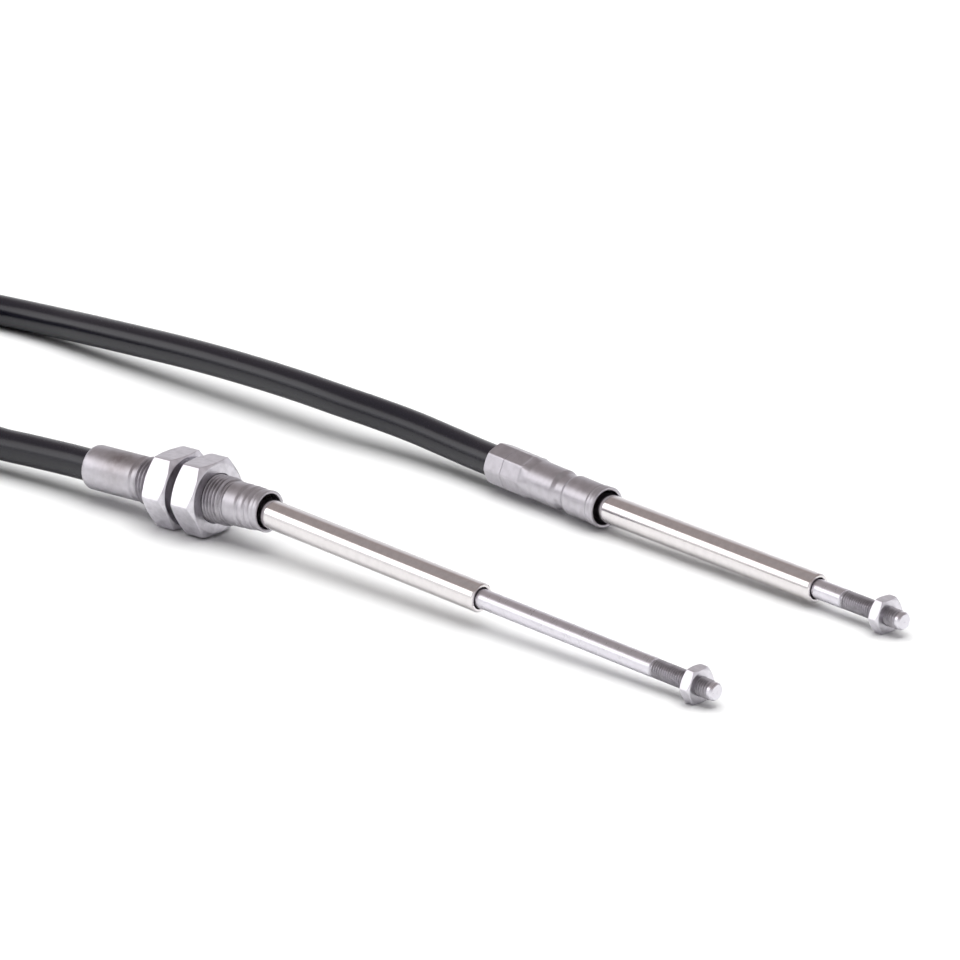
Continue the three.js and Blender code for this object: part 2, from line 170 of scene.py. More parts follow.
class ROD_PG_sizes(bpy.types.PropertyGroup):
    """Sizes of the support tubes and the rods."""

    tube_diameter: FloatProperty(name="Tube", description="Outside diameter of a support tube",
                                 default=9.525 * MM, unit="LENGTH", precision=5)
    tube_bore: FloatProperty(name="Tube bore", description="Bore of a support tube",
                             default=7.1 * MM, unit="LENGTH", precision=5)
    tube_reach: FloatProperty(name="Tube reach", description="From the swivel to the tube's far end",
                              default=98.8 * MM, unit="LENGTH", precision=5)
    rod_diameter: FloatProperty(name="Rod", description="Diameter of a rod",
                                default=6.35 * MM, unit="LENGTH", precision=5)
    thread_diameter: FloatProperty(name="Rod thread", description="Crest diameter of a rod's thread",
                                   default=6.2 * MM, unit="LENGTH", precision=5)
    thread_pitch: FloatProperty(name="Rod thread pitch", description="Twenty-eight threads to the inch",
                                default=25.4 / 28 * MM, unit="LENGTH", precision=6)
    thread_depth: FloatProperty(name="Rod thread depth", description="From crest to root",
                                default=0.5 * MM, unit="LENGTH", precision=5)
    thread_length: FloatProperty(name="Rod thread length", description="Length of the thread at a rod's tip",
                                 default=25.4 * MM, unit="LENGTH", precision=5)
    plain_length: FloatProperty(name="Plain length", description="Length of a rod behind its thread",
                                default=96.6 * MM, unit="LENGTH", precision=5)
    bulkhead_shown: FloatProperty(name="Shown at bulkhead end",
                                  description="Plain rod that stands out of the bulkhead end's tube",
                                  default=73.2 * MM, unit="LENGTH", precision=5)
    clamp_shown: FloatProperty(name="Shown at clamp end",
                               description="Plain rod that stands out of the clamp end's tube",
                               default=11.8 * MM, unit="LENGTH", precision=5)


class POSE_PG_angles(bpy.types.PropertyGroup):
    """How the hubs lie on the floor."""

    bulkhead_heading: FloatProperty(name="Bulkhead hub heading", description="From +X towards +Y",
                                    default=math.radians(2.9), subtype="ANGLE")
    bulkhead_rise: FloatProperty(name="Bulkhead hub rise", description="Mouth up",
                                 default=math.radians(2.35), subtype="ANGLE")
    clamp_heading: FloatProperty(name="Clamp hub heading", description="From +X towards +Y",
                                 default=math.radians(-5.0), subtype="ANGLE")
    clamp_rise: FloatProperty(name="Clamp hub rise", description="Mouth up",
                              default=math.radians(-0.85), subtype="ANGLE")


class FINISH_PG_colours(bpy.types.PropertyGroup):
    """Colours of the finishes."""

    machined_steel: FloatVectorProperty(name="Machined steel", description="Colour of the hubs",
                                        default=(0.55, 0.53, 0.565), subtype="COLOR", min=0, max=1)
    nut_steel: FloatVectorProperty(name="Nut steel", description="Colour of the nuts",
                                   default=(0.72, 0.7, 0.745), subtype="COLOR", min=0, max=1)
    tube_steel: FloatVectorProperty(name="Tube steel", description="Colour of the polished tubes",
                                    default=(0.78, 0.75, 0.75), subtype="COLOR", min=0, max=1)
    rod_steel: FloatVectorProperty(name="Rod steel", description="Colour of the ground rods",
                                   default=(0.73, 0.71, 0.76), subtype="COLOR", min=0, max=1)
    thread_steel: FloatVectorProperty(name="Thread steel", description="Colour of the threads",
                                      default=(0.46, 0.44, 0.47), subtype="COLOR", min=0, max=1)
    # Colour of the rust, also used for the painted dark reflection on top of the bulkhead hub's barrel
    rust_and_dark_reflection: FloatVectorProperty(name="Rust", description="Colour of the rust traces",
                              default=(0.22, 0.185, 0.18), subtype="COLOR", min=0, max=1)
    jacket: FloatVectorProperty(name="Jacket", description="Colour of the conduit's jacket",
                                default=(0.004, 0.0035, 0.009), subtype="COLOR", min=0, max=1)
    seal: FloatVectorProperty(name="Seal", description="Colour of the seal rings",
                              default=(0.012, 0.009, 0.008), subtype="COLOR", min=0, max=1)
    tie: FloatVectorProperty(name="Tie", description="Colour of the ties",
                             default=(0.02, 0.02, 0.021), subtype="COLOR", min=0, max=1)
    floor: FloatVectorProperty(name="Floor", description="Colour of the floor",
                               default=(0.9, 0.9, 0.9), subtype="COLOR", min=0, max=1)


# Places on the frame


def joint(name):
    """The frame's joint of that name."""
    return next(found for found in frame["joints"] if found["name"] == name)


def place_from(x_axis, y_axis, z_axis, origin):
    """The matrix that sets a piece's own axes and origin there."""
    place = Matrix((x_axis, y_axis, z_axis)).transposed().to_4x4()
    place.translation = origin
    return place


def swivel_centre(end):
    """Where the tube of that end swivels."""
    return Vector(joint(f"{end}_swivel_tilt")["pos_m"])


def tube_place(end):
    """Along the tube and rod of that end, from the swivel."""
    along = Vector(joint(f"{end}_rod_slide")["axis"]).normalized()
    across = Vector(joint(f"{end}_swivel_tilt")["axis"]).normalized()
    return place_from(along, across, along.cross(across), swivel_centre(end))


def hub_place(end, from_swivel):
    """Along the hub of that end, from a point on its axis that is so far in front of the swivel."""
    angles = bpy.context.scene.cable_angles
    heading = getattr(angles, f"{end}_heading")
    rise = getattr(angles, f"{end}_rise")
    level = math.cos(rise)
    along = Vector((level * math.cos(heading), level * math.sin(heading), math.sin(rise)))
    up = Vector(joint(f"{end}_swivel_turn")["axis"]).normalized()
    return place_from(along, up.cross(along), up, swivel_centre(end) + along * from_swivel)


def seal_place(end):
    """Along the seal ring of that end, which turns with the tube and tilts with the hub."""
    up = Vector(joint(f"{end}_swivel_turn")["axis"]).normalized()
    across = Vector(joint(f"{end}_swivel_tilt")["axis"]).normalized()
    return place_from(across.cross(up), across, up, swivel_centre(end))


# Meshes


def softened(outline, closed=False, steps=5):
    """The outline's points, with each corner that names a radius rounded off."""
    points = []
    count = len(outline)
    for index, corner in enumerate(outline):
        here = Vector(corner[:2])
        inner = closed or 0 < index < count - 1
        if len(corner) == 2 or not inner:
            points.append(here)
            continue
        before = Vector(outline[index - 1][:2]) - here
        after = Vector(outline[(index + 1) % count][:2]) - here
        reach = corner[2] / math.tan(before.angle(after) / 2)
        start = here + before.normalized() * min(reach, before.length * 0.49)
        end = here + after.normalized() * min(reach, after.length * 0.49)
        for step in range(steps + 1):
            share = step / steps
            points.append(start.lerp(here, share).lerp(here.lerp(end, share), share))
    return points


def turned(outline, sides=96, closed=False, limit=None):
    """Vertices and faces of an outline of (place, radius, rounding) corners turned about X."""
    on_axis = 1e-7
    vertices = []
    rings = []
    for x, reach in softened(outline, closed):
        if reach < on_axis:
            rings.append([len(vertices)] * sides)
            vertices.append((x, 0.0, 0.0))
            continue
        rings.append(range(len(vertices), len(vertices) + sides))
        for side in range(sides):
            turn = math.tau * side / sides
            r = min(reach, limit(x, turn)) if limit else reach
            vertices.append((x, r * math.cos(turn), r * math.sin(turn)))
    faces = []
    following = rings[1:] + rings[:1] if closed else rings[1:]
    for ring, after in zip(rings, following):
        for side in range(sides):
            near = (side + 1) % sides
            corners = (ring[side], ring[near], after[near], after[side])
            face = tuple(dict.fromkeys(corners))
            if len(face) > 2:
                faces.append(face)
    return vertices, faces


def thread(crest, depth, pitch, start, end, lead, sides=60):
    """Vertices and faces of a right-hand thread about X that fades to its root over the lead at each end."""
    narrowest = 1e-8
    root = crest - depth
    shape = ((0.0, root), (0.12, root), (0.43, crest), (0.57, crest), (0.88, root))
    columns = (math.ceil((end - start) / pitch) + 2) * sides
    vertices = []
    for column in range(columns + 1):
        turn = math.tau * column / sides
        for share, reach in shape:
            x = start + pitch * (column / sides - 1 + share)
            x = min(max(x, start), end)
            r = min(reach, root + depth * min(1.0, (x - start) / lead, (end - x) / lead))
            vertices.append((x, r * math.cos(turn), r * math.sin(turn)))
    faces = []
    rows = len(shape)
    for column in range(columns):
        for row in range(rows):
            low = column * rows + row
            high = low + 1 if row + 1 < rows else (column + sides) * rows
            if high + rows >= len(vertices):
                continue
            face = (low, low + rows, high + rows, high)
            spread = [vertices[corner][0] for corner in face]
            if max(spread) - min(spread) > narrowest:
                faces.append(face)
    return vertices, faces


def flat_sided_reach(sides, flats, turn):
    """How far a bar with that many flat sides and a corner at turn 0 reaches at that turn."""
    step = math.tau / sides
    return flats / 2 / math.cos(turn % step - step / 2)


def hex_nut(flats, thickness, bore):
    """Vertices and faces of a jam nut: both faces chamfered at 30 degrees, and a countersunk bore."""
    half = thickness / 2
    face_radius = flats / 2 * NUT_FACE
    corner_cut = flats / 2 / math.cos(math.pi / 6) - flats * NUT_CORNER_CUT
    slope = math.tan(math.radians(30))
    sink = flats * NUT_SINK
    turns = sorted({math.radians(60 * flat + step) for flat in range(6)
                    for step in [*range(-28, 29, 4), -29.1, 29.1]})
    vertices = []
    for turn in turns:
        reach = min(flat_sided_reach(6, flats, turn), corner_cut)
        chamfer = (reach - face_radius) * slope
        column = ((-half + 2 * sink, bore), (-half, bore + sink), (-half, face_radius),
                  (-half + chamfer, reach), (half - chamfer, reach),
                  (half, face_radius), (half, bore + sink), (half - 2 * sink, bore))
        vertices.extend((x, r * math.cos(turn), r * math.sin(turn)) for x, r in column)
    faces = []
    rows = 8
    count = len(turns)
    for column in range(count):
        near = (column + 1) % count
        for row in range(rows):
            up = (row + 1) % rows
            faces.append((column * rows + row, near * rows + row, near * rows + up, column * rows + up))
    return vertices, faces


def make_piece(name, place, shapes, materials):
    """One object of several (vertices, faces) shapes, the first in the first material, and so on."""
    vertices = []
    faces = []
    slots = []
    for slot, (points, sides) in enumerate(shapes):
        base = len(vertices)
        vertices.extend(points)
        faces.extend(tuple(base + corner for corner in side) for side in sides)
        slots.extend([slot] * len(sides))
    mesh = bpy.data.meshes.new(name)
    mesh.from_pydata(vertices, [], faces)
    for material in materials:
        mesh.materials.append(material)
    mesh.polygons.foreach_set("material_index", slots)
    mesh.polygons.foreach_set("use_smooth", [True] * len(faces))
    mesh.set_sharp_from_angle(angle=SHARP_ANGLE)
    piece = bpy.data.objects.new(name, mesh)
    piece.matrix_world = place
    bpy.context.scene.collection.objects.link(piece)
    return piece


def tie_band(half, low, high, width, thickness):
    """Vertices and faces of a tie's ribbed band round a section from low to high, half as wide as given."""
    rounding = 2 * MM
    arc_steps = 8
    rib = 0.15 * MM
    rib_pitch = 0.7 * MM
    corners = [(half, low), (half, high), (-half, high), (-half, low)]
    centres = [(x - math.copysign(rounding, x), low + rounding if z == low else high - rounding)
               for x, z in corners]
    path = []
    for quarter, (x, z) in enumerate(centres):
        for step in range(arc_steps + 1):
            turn = math.radians(-90 + 90 * quarter + step * 90 / arc_steps)
            path.append((x, z, math.cos(turn), math.sin(turn)))
        after = centres[(quarter + 1) % 4]
        steps = round(math.hypot(after[0] - x, after[1] - z) / rib_pitch)
        out = math.radians(90 * quarter)
        for step in range(1, steps):
            share = step / steps
            path.append((x + (after[0] - x) * share, z + (after[1] - z) * share,
                         math.cos(out), math.sin(out)))
    across = width / 2
    margin = 0.9 * MM
    vertices = []
    for index, (x, z, out_x, out_z) in enumerate(path):
        raised = thickness - rib * (index % 2)
        for y, offset in ((-across, 0), (across, 0), (across, thickness - rib),
                          (across - margin, thickness - rib), (across - margin, raised),
                          (margin - across, raised),
                          (margin - across, thickness - rib), (-across, thickness - rib)):
            reach = rounding + offset
            vertices.append((x + out_x * reach, y, z + out_z * reach))
    rows = 8
    count = len(path)
    faces = []
    for column in range(count):
        near = (column + 1) % count
        for row in range(rows):
            up = (row + 1) % rows
            faces.append((column * rows + row, column * rows + up, near * rows + up, near * rows + row))
    return vertices, faces


def block(x, y, z):
    """Vertices and faces of a block between two places along each axis."""
    vertices = [(x[i], y[j], z[k]) for i in (0, 1) for j in (0, 1) for k in (0, 1)]
    faces = [(0, 1, 3, 2), (4, 6, 7, 5), (0, 4, 5, 1), (2, 3, 7, 6), (0, 2, 6, 4), (1, 5, 7, 3)]
    return vertices, faces


def tie_head(half, high, sizes):
    """A tie's locking head on the outside of the band, and the cut end of the band that stands out of it."""
    middle = high / 2
    head = block((half + 0.4 * MM, half + 4.2 * MM), (-3.2 * MM, 3.2 * MM),
                 (middle - 2.9 * MM, middle + 2.9 * MM))
    end = block((half + 1.6 * MM, half + 1.6 * MM + sizes.tie_thickness),
                (-sizes.tie_width / 2, sizes.tie_width / 2), (middle + 2 * MM, middle + 5.5 * MM))
    return [head, end]


def add_bevel(piece, width):
    """Breaks the piece's sharp edges so that they catch the light."""
    bevel = piece.modifiers.new("Broken edges", "BEVEL")
    bevel.width = width
    bevel.segments = 2
    bevel.limit_method = "ANGLE"
    bevel.angle_limit = math.radians(24)
    bevel.harden_normals = True


def finish_piece(piece, body, slot, *nodes):
    """Sets the piece on its body in place of the CAD nodes it shows."""
    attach(piece, body)
    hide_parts(*nodes)


# Shader groups


def new_group(name, inputs, outputs):
    """An empty shader node group with its sockets, and its input and output nodes."""
    group = bpy.data.node_groups.new(name, "ShaderNodeTree")
    for label, kind, default in inputs:
        socket = group.interface.new_socket(label, in_out="INPUT", socket_type=kind)
        socket.default_value = default
    for label, kind in outputs:
        group.interface.new_socket(label, in_out="OUTPUT", socket_type=kind)
    return group, group.nodes.new("NodeGroupInput"), group.nodes.new("NodeGroupOutput")


def math_node(tree, operation, first, second=None, clamp=False):
    """A math node with its inputs linked or set."""
    node = tree.nodes.new("ShaderNodeMath")
    node.operation = operation
    node.use_clamp = clamp
    for socket, value in zip(node.inputs, (first, second)):
        if isinstance(value, bpy.types.NodeSocket):
            tree.links.new(value, socket)
        elif value is not None:
            socket.default_value = value
    return node.outputs[0]


def turning_group():
    """Fine rings that a lathe leaves round X: a normal and a roughness that varies a little."""
    found = bpy.data.node_groups.get("Turning marks")
    if found:
        return found
    group, given, out = new_group(
        "Turning marks",
        [("Rings per metre", "NodeSocketFloat", 2500.0), ("Depth", "NodeSocketFloat", 0.2),
         ("Roughness", "NodeSocketFloat", 0.25), ("Variation", "NodeSocketFloat", 0.08)],
        [("Normal", "NodeSocketVector"), ("Roughness", "NodeSocketFloat"), ("Mottle", "NodeSocketFloat")])
    links = group.links
    place = group.nodes.new("ShaderNodeTexCoord")
    split = group.nodes.new("ShaderNodeSeparateXYZ")
    links.new(place.outputs["Object"], split.inputs[0])
    rings_at = group.nodes.new("ShaderNodeCombineXYZ")
    links.new(math_node(group, "MULTIPLY", split.outputs["X"], given.outputs["Rings per metre"]),
              rings_at.inputs["X"])
    links.new(math_node(group, "MULTIPLY", split.outputs["Y"], 60.0), rings_at.inputs["Y"])
    links.new(math_node(group, "MULTIPLY", split.outputs["Z"], 60.0), rings_at.inputs["Z"])
    rings = group.nodes.new("ShaderNodeTexNoise")
    rings.inputs["Scale"].default_value = 1.0
    rings.inputs["Detail"].default_value = 2.0
    links.new(rings_at.outputs[0], rings.inputs["Vector"])
    bump = group.nodes.new("ShaderNodeBump")
    bump.inputs["Distance"].default_value = 0.01 * MM
    links.new(given.outputs["Depth"], bump.inputs["Strength"])
    links.new(rings.outputs["Fac"], bump.inputs["Height"])
    links.new(bump.outputs["Normal"], out.inputs["Normal"])
    mottle = group.nodes.new("ShaderNodeTexNoise")
    mottle.inputs["Scale"].default_value = 420.0
    mottle.inputs["Detail"].default_value = 4.0
    links.new(place.outputs["Object"], mottle.inputs["Vector"])
    swing = math_node(group, "SUBTRACT", mottle.outputs["Fac"], 0.5)
    spread = math_node(group, "MULTIPLY", swing, given.outputs["Variation"])
    ring_swing = math_node(group, "MULTIPLY", math_node(group, "SUBTRACT", rings.outputs["Fac"], 0.5),
                           given.outputs["Variation"])
    total = math_node(group, "ADD", spread, ring_swing)
    links.new(math_node(group, "ADD", given.outputs["Roughness"], total, clamp=True), out.inputs["Roughness"])
    links.new(mottle.outputs["Fac"], out.inputs["Mottle"])
    return group


def rust_and_dark_reflection_group():
    """A patchy brown darkening, partly rust and partly painted dark reflection, that fades out at a radius
    from a point on the piece.
    """
    found = bpy.data.node_groups.get("Rust and dark reflection")
    if found:
        return found
    group, given, out = new_group(
        "Rust and dark reflection",
        [("Centre", "NodeSocketVector", (0.0, 0.0, 0.0)), ("Radius", "NodeSocketFloat", 0.008)],
        [("Mask", "NodeSocketFloat")])
    links = group.links
    place = group.nodes.new("ShaderNodeTexCoord")
    apart = group.nodes.new("ShaderNodeVectorMath")
    apart.operation = "DISTANCE"
    links.new(place.outputs["Object"], apart.inputs[0])
    links.new(given.outputs["Centre"], apart.inputs[1])
    share = math_node(group, "DIVIDE", apart.outputs["Value"], given.outputs["Radius"])
    near = math_node(group, "SUBTRACT", 1.0, share, clamp=True)
    patches = group.nodes.new("ShaderNodeTexNoise")
    patches.inputs["Scale"].default_value = 520.0
    patches.inputs["Detail"].default_value = 5.0
    links.new(place.outputs["Object"], patches.inputs["Vector"])
    patchy = math_node(group, "MULTIPLY", patches.outputs["Fac"], 1.2)
    links.new(math_node(group, "MULTIPLY", near, patchy, clamp=True), out.inputs["Mask"])
    return group


def new_material(name, colour, metallic, roughness):
    """A material, its node tree and its Principled shader, in a plain colour."""
    material = bpy.data.materials.new(name)
    material.use_nodes = True
    shader = material.node_tree.nodes["Principled BSDF"]
    shader.inputs["Base Color"].default_value = (*colour, 1.0)
    shader.inputs["Metallic"].default_value = metallic
    shader.inputs["Roughness"].default_value = roughness
    material.diffuse_color = (*colour, 1.0)
    return material, material.node_tree, shader


def steel(name, colour, roughness, rings, depth, variation, dark=0.82):
    """Turned steel: ring marks, and a colour that is a little darker in cloudy patches."""
    found = bpy.data.materials.get(name)
    if found:
        return found
    material, tree, shader = new_material(name, colour, 1.0, roughness)
    marks = tree.nodes.new("ShaderNodeGroup")
    marks.node_tree = turning_group()
    marks.inputs["Rings per metre"].default_value = rings
    marks.inputs["Depth"].default_value = depth
    marks.inputs["Roughness"].default_value = roughness
    marks.inputs["Variation"].default_value = variation
    tint = tree.nodes.new("ShaderNodeMix")
    tint.data_type = "RGBA"
    tint.inputs["A"].default_value = (*[channel * dark for channel in colour], 1.0)
    tint.inputs["B"].default_value = (*colour, 1.0)
    cloud = tree.nodes.new("ShaderNodeMapRange")
    cloud.inputs["From Min"].default_value = 0.35
    cloud.inputs["From Max"].default_value = 0.62
    tree.links.new(marks.outputs["Mottle"], cloud.inputs["Value"])
    tree.links.new(cloud.outputs["Result"], tint.inputs["Factor"])
    tree.links.new(tint.outputs["Result"], shader.inputs["Base Color"])
    tree.links.new(marks.outputs["Roughness"], shader.inputs["Roughness"])
    tree.links.new(marks.outputs["Normal"], shader.inputs["Normal"])
    return material


def polymer(name, colour, roughness, grain, depth):
    """Moulded or extruded plastic or rubber with a fine grain."""
    found = bpy.data.materials.get(name)
    if found:
        return found
    material, tree, shader = new_material(name, colour, 0.0, roughness)
    place = tree.nodes.new("ShaderNodeTexCoord")
    noise = tree.nodes.new("ShaderNodeTexNoise")
    noise.inputs["Scale"].default_value = grain
    noise.inputs["Detail"].default_value = 3.0
    tree.links.new(place.outputs["Object"], noise.inputs["Vector"])
    spread = tree.nodes.new("ShaderNodeMapRange")
    spread.inputs["To Min"].default_value = roughness - 0.06
    spread.inputs["To Max"].default_value = roughness + 0.08
    tree.links.new(noise.outputs["Fac"], spread.inputs["Value"])
    tree.links.new(spread.outputs["Result"], shader.inputs["Roughness"])
    bump = tree.nodes.new("ShaderNodeBump")
    bump.inputs["Strength"].default_value = depth
    bump.inputs["Distance"].default_value = 0.02 * MM
    tree.links.new(noise.outputs["Fac"], bump.inputs["Height"])
    tree.links.new(bump.outputs["Normal"], shader.inputs["Normal"])
    return material


def machined_steel():
    """Turned steel of the hubs, with rust and a painted dark reflection on top of the bulkhead hub's barrel.
    """
    found = bpy.data.materials.get("Machined steel")
    if found:
        return found
    finishes = bpy.context.scene.cable_finishes
    material = steel("Machined steel", finishes.machined_steel, roughness=0.4, rings=3200.0, depth=0.3,
                     variation=0.1, dark=0.88)
    tree = material.node_tree
    shader = tree.nodes["Principled BSDF"]
    # Paints the top of the bulkhead hub's barrel a patchy darker brown: partly rust, partly painted dark
    # reflection
    trace = tree.nodes.new("ShaderNodeGroup")
    trace.node_tree = rust_and_dark_reflection_group()
    trace.inputs["Centre"].default_value = RUST_AND_DARK_REFLECTION_CENTRE
    trace.inputs["Radius"].default_value = RUST_AND_DARK_REFLECTION_RADIUS
    mix = tree.nodes.new("ShaderNodeMix")
    mix.data_type = "RGBA"
    mix.inputs["B"].default_value = (*finishes.rust_and_dark_reflection, 1.0)
    tree.links.new(shader.inputs["Base Color"].links[0].from_socket, mix.inputs["A"])
    tree.links.new(trace.outputs["Mask"], mix.inputs["Factor"])
    tree.links.new(mix.outputs["Result"], shader.inputs["Base Color"])
    return material


def nut_steel():
    """Plated steel of the nuts."""
    return steel("Nut steel", bpy.context.scene.cable_finishes.nut_steel,
                 roughness=0.32, rings=2200.0, depth=0.25, variation=0.12)


def tube_steel():
    """Polished steel of the support tubes."""
    return steel("Tube steel", bpy.context.scene.cable_finishes.tube_steel,
                 roughness=0.13, rings=900.0, depth=0.08, variation=0.05, dark=0.94)


def rod_steel():
    """Ground steel of the rods."""
    return steel("Rod steel", bpy.context.scene.cable_finishes.rod_steel,
                 roughness=0.29, rings=1500.0, depth=0.12, variation=0.08, dark=0.94)


def thread_steel():
    """Darker steel of the threads on the hub and the rods."""
    return steel("Thread steel", bpy.context.scene.cable_finishes.thread_steel,
                 roughness=0.36, rings=2500.0, depth=0.2, variation=0.15, dark=0.75)


def jacket_plastic():
    """Smooth black plastic of the conduit."""
    return polymer("Conduit jacket", bpy.context.scene.cable_finishes.jacket,
                   roughness=0.24, grain=1800.0, depth=0.08)


def seal_rubber():
    """Matt rubber of the seal rings."""
    return polymer("Seal rubber", bpy.context.scene.cable_finishes.seal,
                   roughness=0.6, grain=3000.0, depth=0.3)


def tie_nylon():
    """Moulded nylon of the ties."""
    return polymer("Tie nylon", bpy.context.scene.cable_finishes.tie,
                   roughness=0.45, grain=1500.0, depth=0.2)


# Outlines of the hubs


def in_metres(corners):
    """The outline's corners, given in millimetres, in metres."""
    return [tuple(value * MM for value in corner) for corner in corners]


def mouth_corners(neck, sizes):
    """From the neck behind the rolled lip round into the bore and back to the axis, in millimetres."""
    lip = sizes.lip_diameter / 2 / MM
    edge = sizes.lip_bore / 2 / MM
    bore = sizes.mouth_bore / 2 / MM
    return [
        (-3.9, neck, 0.2), (-3.6, neck - 0.35, 0.12), (-3.35, neck - 0.35, 0.1), (-3.2, lip - 0.12, 0.12),
        (-2.1, lip - 0.1, 0.3), (-1.95, lip - 0.19, 0.1), (-1.8, lip - 0.1, 0.1), (-0.75, lip - 0.06, 0.2),
        (-0.62, lip - 0.16, 0.05), (-0.5, lip, 0.1), (-0.1, lip, 0.25), (0, lip - 0.45, 0.2),
        (-0.25, edge, 0.25), (-1.0, edge, 0.3), (-1.6, bore, 0.2), (-9.9, bore), (-9.9, 0),
    ]


def socket_corners(back, outside, rounding):
    """From the axis out through the conduit's socket to the hub's rounded back edge, in millimetres."""
    socket = 5.65
    depth = 4
    return [(back + depth, 0), (back + depth, socket), (back + 0.3, socket, 0.3), (back, socket + 0.3, 0.2),
            (back, outside, rounding)]


def bulkhead_hub_outline(sizes):
    """The bulkhead hub without its thread crests, from the back axis round to the mouth."""
    barrel = sizes.barrel_diameter / 2 / MM
    root = (sizes.thread_diameter / 2 - sizes.thread_depth) / MM
    nose = sizes.nose_diameter / 2 / MM
    ridge = nose - 0.12
    tip = nose - 0.4
    return in_metres([
        *socket_corners(-sizes.bulkhead_length / MM, barrel, 1.6),
        (-55.5, barrel, 0.2), (-55.2, barrel - 0.3, 0.1),
        (-54.9, barrel - 0.6, 0.1), (-53.6, barrel - 0.6, 0.1), (-53.1, root),
        (-15.5, root), (-15.2, nose - 0.55, 0.1), (-14.7, nose - 0.55, 0.1), (-14.3, nose, 0.25),
        (-9.4, nose - 0.05, 0.4), (-8.9, nose - 0.62, 0.3), (-8.3, nose - 0.62, 0.3), (-7.8, ridge, 0.5),
        (-6.2, ridge, 0.4), (-5.75, ridge - 0.55, 0.25), (-5.3, ridge - 0.55, 0.25),
        (-4.9, ridge - 0.1, 0.35),
        *mouth_corners(tip, sizes),
    ])


def clamp_hub_outline(sizes):
    """The clamp hub, from the back axis round to the mouth."""
    back = -sizes.clamp_length / MM
    body = sizes.clamp_diameter / 2 / MM
    crimp = sizes.crimp_diameter / 2 / MM
    front = body - 0.1
    crimp_end = -CRIMP_FROM_MOUTH / MM
    line = -CRIMP_LINE_FROM_MOUTH / MM
    steps = 24
    crimped = [back + 1.2 + (crimp_end - back - 1.4) * step / steps for step in range(steps)]
    crimped = [x for x in crimped if abs(x - line) > 0.3]
    crimped = sorted([*crimped, line - 0.16, line - 0.08, line + 0.08, line + 0.16])
    return in_metres([
        *socket_corners(back, crimp, 0.8), *((x, crimp) for x in crimped), (crimp_end, crimp, 0.3),
        (crimp_end + 3.3, body, 0.8), (-20.7, body, 0.35), (-19.4, body - 0.85, 0.8),
        (-16.2, body - 0.9, 0.6), (-14.9, front - 0.1, 0.2), (-14.6, front, 0.2),
        *mouth_corners(front, sizes),
    ])


def crimp_limit(sizes):
    """How far the crimped rear of the clamp hub reaches: eight flats with a fine ring line round them."""
    flats = sizes.crimp_flats
    front = -CRIMP_FROM_MOUTH - 0.4 * MM
    ramp = 1.6 * MM
    ramp_height = 0.6 * MM
    line_depth = 0.16 * MM
    line_half_width = 0.1 * MM

    def reach(x, turn):
        outside = max(0.0, x - front) / ramp
        line = line_depth if abs(x + CRIMP_LINE_FROM_MOUTH) < line_half_width else 0.0
        return flat_sided_reach(CRIMP_SIDES, flats, turn) + outside * ramp_height - line

    return reach


# Operators


def socket_point(end):
    """Where the conduit enters the hub of that end, just inside its back face."""
    sizes = bpy.context.scene.cable_hubs
    length = getattr(sizes, f"{end}_length")
    return hub_place(end, sizes.swivel_depth - length) @ Vector((3.7 * MM, 0, 0))


def straight_points(end):
    """Two points straight behind the hub of that end."""
    sizes = bpy.context.scene.cable_hubs
    length = getattr(sizes, f"{end}_length")
    place = hub_place(end, sizes.swivel_depth - length)
    return [place @ Vector((-behind * MM, 0, 0)) for behind in (5, 12)]


def coil_points(sizes, origin):
    """The coil's turns, layer on layer, with a slight lift over each tie."""
    entry = 120
    turned_by = 892
    climbs_after = 270
    tie_lift = 1.5 * MM
    tie_spread = 16
    centre = origin + Vector((*COIL_CENTRE, 0))
    points = []
    steps = 50
    for step in range(steps + 1):
        gone = turned_by * step / steps
        angle = entry + gone
        layer, within = divmod(gone, 360)
        ramp = min(1.0, max(0.0, (within - climbs_after) / (360 - climbs_after)))
        smooth = ramp * ramp * (3 - 2 * ramp)
        height = sizes.diameter / 2 + 0.05 * MM + (layer + smooth) * sizes.layer_height
        for tie in TIE_ANGLES:
            apart = (angle - tie + 180) % 360 - 180
            height += tie_lift * math.exp(-(apart / tie_spread) ** 2)
        reach = sizes.coil_diameter / 2
        turn = math.radians(angle)
        points.append(centre + Vector((reach * math.cos(turn), reach * math.sin(turn), height)))
    return points


